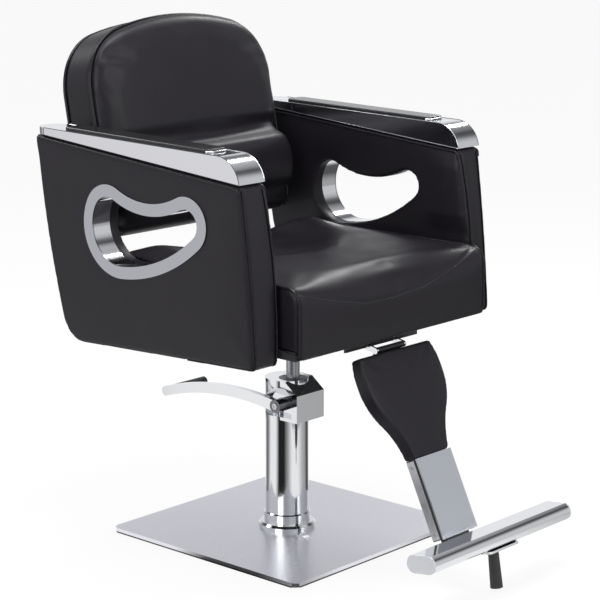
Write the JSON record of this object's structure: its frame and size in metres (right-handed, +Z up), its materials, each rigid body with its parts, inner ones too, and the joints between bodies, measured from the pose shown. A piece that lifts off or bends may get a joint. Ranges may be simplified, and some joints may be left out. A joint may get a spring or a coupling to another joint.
{
  "type": "hairdressing chair",
  "caption": "Hydraulic hairdressing chair on a square base, with cut-out arms, leaning backrest and a hinged leg rest with a foot bar.",
  "frame": {"origin": "on the floor under the middle of the square base", "axes": "+Z up, the sitter faces -Y, +X towards the sitter's left"},
  "size_m": [0.646, 0.8663, 0.9409],
  "materials": {
    "upholstery": "satin",
    "timber": "matte",
    "brushed": "satin",
    "chrome": "polished",
    "cap_metal": "polished",
    "steel": "satin",
    "black_steel": "satin",
    "bronze": "satin",
    "rubber": "matte",
    "black_plastic": "satin"
  },
  "bodies": {
    "base": {"floor_pad": "rubber", "base_cover": "brushed", "base_weight": "steel", "base_bolts": "steel", "pump_foot": "chrome", "collar_ring": "chrome", "pump_sleeve": "chrome", "ram_cylinder": "steel", "pump_head": "chrome", "rod_bush": "bronze", "gland_ring": "chrome", "gland_screws": "steel", "plunger_barrel": "steel"},
    "lever": {"pump_lever": "chrome", "lever_shaft": "steel", "pedal_bar": "chrome", "pedal_grip": "rubber"},
    "plunger": {"plunger": "steel"},
    "ram": {"piston": "steel", "piston_seal": "rubber", "piston_rod": "steel", "thrust_bearing": "steel"},
    "seat": {"seat_mount": "black_steel", "mount_bolts": "steel", "seat_board": "timber", "seat_cushion": "upholstery", "arm_panel_left": "upholstery", "arm_panel_right": "upholstery", "arm_ring_left": "brushed", "arm_ring_right": "brushed", "arm_cap_left": "cap_metal", "arm_cap_right": "cap_metal", "arm_pad_left": "black_plastic", "arm_pad_right": "black_plastic", "arm_bolts": "steel", "rear_cover": "upholstery", "back_frame": "timber", "back_cushion": "upholstery", "back_bolts": "steel", "back_spacers": "steel", "legrest_bracket": "black_steel", "hinge_straps": "brushed", "hinge_pin": "steel"},
    "legrest": {"legrest_tongue": "black_steel", "legrest_board": "timber", "legrest_pad": "upholstery", "stem_front_plate": "brushed", "stem_core": "black_steel", "stem_strips": "brushed"},
    "footbar": {"footbar_pin": "steel", "footbar_bracket": "black_steel", "footbar_tube": "chrome", "footbar_caps": "black_plastic", "footbar_bolts": "steel", "peg_stud": "steel", "peg_sleeve": "rubber"}
  },
  "joints": [
    {"name": "lift", "type": "slide", "parent": "base", "child": "ram", "axis": [0, 0, 1], "range_m": [0, 0.12]},
    {"name": "swivel", "type": "hinge", "parent": "ram", "child": "seat", "pos_m": [0, -0.015, 0.39], "axis": [0, 0, 1], "continuous": true},
    {"name": "lever_pump", "type": "hinge", "parent": "base", "child": "lever", "pos_m": [-0.047, -0.033, 0.257], "axis": [-1, 0, 0], "range_deg": [0, 24], "stiffness_Nm_per_rad": 2, "springref_deg": -57.3},
    {"name": "plunger_slide", "type": "slide", "parent": "base", "child": "plunger", "axis": [0, 0, -1], "range_m": [0, 0.0165]},
    {"name": "legrest_swing", "type": "hinge", "parent": "seat", "child": "legrest", "pos_m": [0, -0.243, 0.389], "axis": [-1, 0, 0], "range_deg": [0, 60]},
    {"name": "footbar_fold", "type": "hinge", "parent": "legrest", "child": "footbar", "pos_m": [0, -0.39807, 0.06854], "axis": [-1, 0, 0], "range_deg": [0, 50]}
  ],
  "couplings": [
    {"joint": "plunger_slide", "follows": "lever_pump", "m_per_rad": 0.0382}
  ]
}
